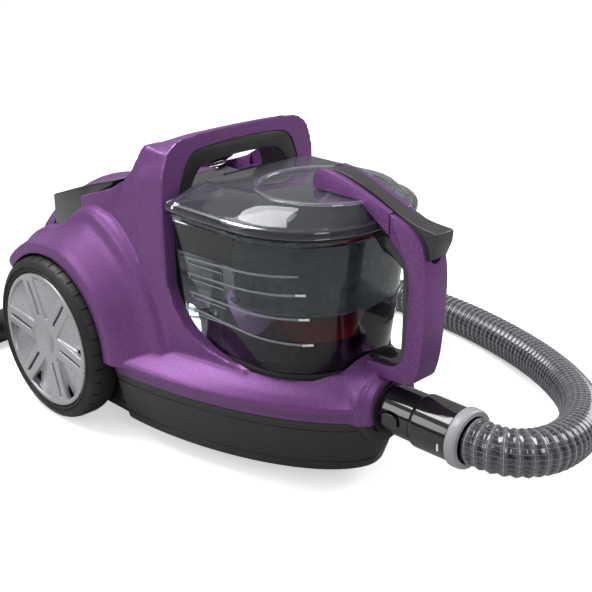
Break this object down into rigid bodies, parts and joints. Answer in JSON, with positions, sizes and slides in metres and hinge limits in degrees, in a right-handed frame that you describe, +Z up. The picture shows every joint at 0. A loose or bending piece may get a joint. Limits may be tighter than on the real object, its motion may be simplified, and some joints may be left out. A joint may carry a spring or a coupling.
{
  "type": "canister vacuum cleaner",
  "caption": "Bagless canister vacuum cleaner with large rear wheels, front caster, carry handle, clear dust bin with hinged lid, and ribbed suction hose.",
  "frame": {"origin": "on the floor under the middle of the machine, hose left out", "axes": "+X from the rear wheels towards the hose inlet, +Y to the machine's left, +Z up"},
  "size_m": [0.7927, 0.6201, 0.335],
  "materials": {
    "purple_shell": "satin fine-metallic purple plastic",
    "charcoal": "satin charcoal plastic",
    "black_matte": "matt black plastic",
    "black_gloss": "polished black plastic",
    "silver": "silver-painted plastic",
    "tyre": "black rubber",
    "steel": "turned steel",
    "smoke_clear": "smoke-tinted clear plastic",
    "red": "dark red plastic",
    "shroud_grey": "greenish grey plastic",
    "mesh": "fine steel mesh",
    "seal": "soft black rubber",
    "foam": "open-cell foam",
    "filter_paper": "pleated filter paper",
    "grey_ring": "light grey plastic",
    "hose_grey": "clear grey ribbed plastic over a wire",
    "copper_board": "green circuit board"
  },
  "bodies": {
    "machine": {"lower_housing": "charcoal", "main_cover": "purple_shell", "handle_liner": "black_matte", "filter_cover": "black_gloss", "bulkhead": "black_matte", "wheel_axles": "steel", "axle_clips": "steel", "motor_can": "steel", "motor_mounts": "seal", "pre_motor_filter": "foam", "exhaust_filter": "filter_paper", "exhaust_grille": "black_matte", "reel_spindle": "steel", "reel_spring_case": "black_matte", "control_board": "copper_board", "cord_gland": "black_matte", "pedal_pins": "steel", "power_pedal_spring": "steel", "rewind_pedal_spring": "steel", "inlet_sleeve": "black_matte", "inlet_seal": "seal", "inlet_duct": "black_matte", "housing_screws": "steel"},
    "right_wheel": {"right_tyre": "tyre", "right_wheel_core": "black_matte", "right_hubcap": "silver"},
    "left_wheel": {"left_tyre": "tyre", "left_wheel_core": "black_matte", "left_hubcap": "silver"},
    "caster_fork": {"caster_fork": "black_matte", "caster_axle": "steel"},
    "caster_wheel": {"caster_wheel": "tyre"},
    "motor_rotor": {"motor_rotor": "steel"},
    "cord_reel": {"cord_reel_drum": "black_matte"},
    "power_pedal": {"power_pedal": "black_gloss"},
    "rewind_pedal": {"rewind_pedal": "black_gloss"},
    "dust_bin": {"dust_bin": "smoke_clear", "bin_gasket": "seal", "lid_seal": "seal", "hinge_bracket": "black_gloss", "lid_hinge_pin": "steel", "cyclone_shroud": "shroud_grey", "mesh_screen": "mesh", "cyclone_cone": "red", "outlet_duct": "black_matte", "bin_handle": "purple_shell", "bin_handle_frame": "black_matte"},
    "bin_lid": {"bin_lid": "smoke_clear", "hinge_knuckle": "black_gloss", "lid_handle": "purple_shell", "lever_pin": "steel"},
    "release_lever": {"release_lever": "black_matte"},
    "hose": {"end_ring": "grey_ring", "hose": "hose_grey", "hose_cuff": "black_matte", "hose_handle": "black_matte"},
    "connector": {"connector_tube": "black_gloss"},
    "latch_button": {"latch_button": "black_gloss"},
    "air_slider": {"air_slider": "black_gloss"}
  },
  "joints": [
    {"name": "right_wheel_spin", "type": "hinge", "parent": "machine", "child": "right_wheel", "pos_m": [-0.1815, -0.12, 0.092], "axis": [0, 1, 0], "continuous": true},
    {"name": "left_wheel_spin", "type": "hinge", "parent": "machine", "child": "left_wheel", "pos_m": [-0.1815, 0.12, 0.092], "axis": [0, 1, 0], "continuous": true},
    {"name": "caster_swivel", "type": "hinge", "parent": "machine", "child": "caster_fork", "pos_m": [0.1105, 0, 0.045], "axis": [0, 0, 1], "continuous": true},
    {"name": "caster_roll", "type": "hinge", "parent": "caster_fork", "child": "caster_wheel", "pos_m": [0.1005, 0, 0.016], "axis": [0, 1, 0], "continuous": true},
    {"name": "motor_spin", "type": "hinge", "parent": "machine", "child": "motor_rotor", "pos_m": [-0.1675, -0.042, 0.152], "axis": [1, 0, 0], "continuous": true},
    {"name": "cord_reel_spin", "type": "hinge", "parent": "machine", "child": "cord_reel", "pos_m": [-0.1675, 0.056, 0.112], "axis": [0, 1, 0], "continuous": true},
    {"name": "power_pedal_press", "type": "hinge", "parent": "machine", "child": "power_pedal", "pos_m": [-0.1395, -0.07, 0.253], "axis": [0, 1, 0], "range_deg": [-4, 0], "stiffness_Nm_per_rad": 0.8, "springref_deg": 20.05, "deforming": ["power_pedal_spring"]},
    {"name": "rewind_pedal_press", "type": "hinge", "parent": "machine", "child": "rewind_pedal", "pos_m": [-0.1395, 0.07, 0.253], "axis": [0, 1, 0], "range_deg": [-4, 0], "stiffness_Nm_per_rad": 0.8, "springref_deg": 20.05, "deforming": ["rewind_pedal_spring"]},
    {"name": "bin_lift", "type": "slide", "parent": "machine", "child": "dust_bin", "axis": [0, 0, 1], "range_m": [0, 0.18]},
    {"name": "lid_open", "type": "hinge", "parent": "dust_bin", "child": "bin_lid", "pos_m": [-0.0055, 0, 0.284], "axis": [0, -1, 0], "range_deg": [0, 55]},
    {"name": "lever_lift", "type": "hinge", "parent": "bin_lid", "child": "release_lever", "pos_m": [0.1155, 0, 0.307], "axis": [0, -1, 0], "range_deg": [0, 18], "stiffness_Nm_per_rad": 0.5, "springref_deg": -17.19},
    {"name": "hose_pull", "type": "slide", "parent": "machine", "child": "hose", "axis": [1, 0, 0], "range_m": [0, 0.05]},
    {"name": "connector_swivel", "type": "hinge", "parent": "hose", "child": "connector", "pos_m": [0.2585, 0, 0.092], "axis": [1, 0, 0], "continuous": true},
    {"name": "latch_press", "type": "slide", "parent": "connector", "child": "latch_button", "axis": [0, 1, 0], "range_m": [0, 0.0016], "stiffness_N_per_m": 400, "springref_m": -0.002},
    {"name": "air_slide", "type": "slide", "parent": "hose", "child": "air_slider", "axis": [0.083, -0.9965, 0], "range_m": [0, 0.018]}
  ]
}
